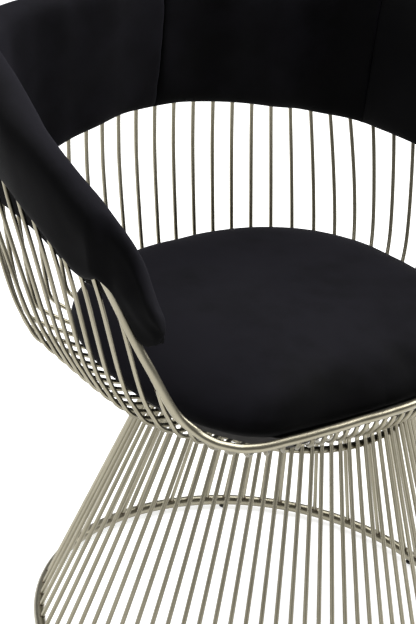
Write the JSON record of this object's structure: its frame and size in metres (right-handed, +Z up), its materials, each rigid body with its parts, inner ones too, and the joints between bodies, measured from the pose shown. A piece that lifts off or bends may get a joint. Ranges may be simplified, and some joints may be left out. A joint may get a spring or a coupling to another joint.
{
  "type": "upholstered wire armchair",
  "caption": "Free-standing wire dining armchair with a flared rod base, a round seat cushion and a padded back that wraps into the arms.",
  "frame": {"origin": "on the floor, under the middle of the overall box", "axes": "+Z up, the chair's front faces -Y, the sitter's left is +X"},
  "size_m": [0.7032, 0.5919, 0.7367],
  "materials": {
    "brushed_metal": "satin, warm nickel tone",
    "black_velvet": "short pile velvet",
    "black_rubber": "matt",
    "black_plastic": "matt",
    "zinc_steel": "zinc plated",
    "plywood": "stained black",
    "dust_cloth": "woven dust cloth"
  },
  "bodies": {
    "root": {"floor_ring": "brushed_metal", "floor_glides": "black_rubber", "rods_front": "brushed_metal", "rods_front_left": "brushed_metal", "rods_left": "brushed_metal", "rods_back_left": "brushed_metal", "rods_back": "brushed_metal", "rods_back_right": "brushed_metal", "rods_right": "brushed_metal", "rods_front_right": "brushed_metal", "waist_ring": "brushed_metal", "front_rail": "brushed_metal", "top_rail": "brushed_metal", "seat_tabs": "brushed_metal", "seat_posts": "black_plastic", "seat_bolts": "zinc_steel", "seat_inserts": "zinc_steel", "seat_board": "plywood", "seat_dust_cover": "dust_cloth", "seat_cushion": "black_velvet", "back_pad_left": "black_velvet", "back_pad_right": "black_velvet", "arm_pad_left": "black_velvet", "arm_pad_right": "black_velvet", "pad_clips": "zinc_steel"}
  },
  "joints": []
}
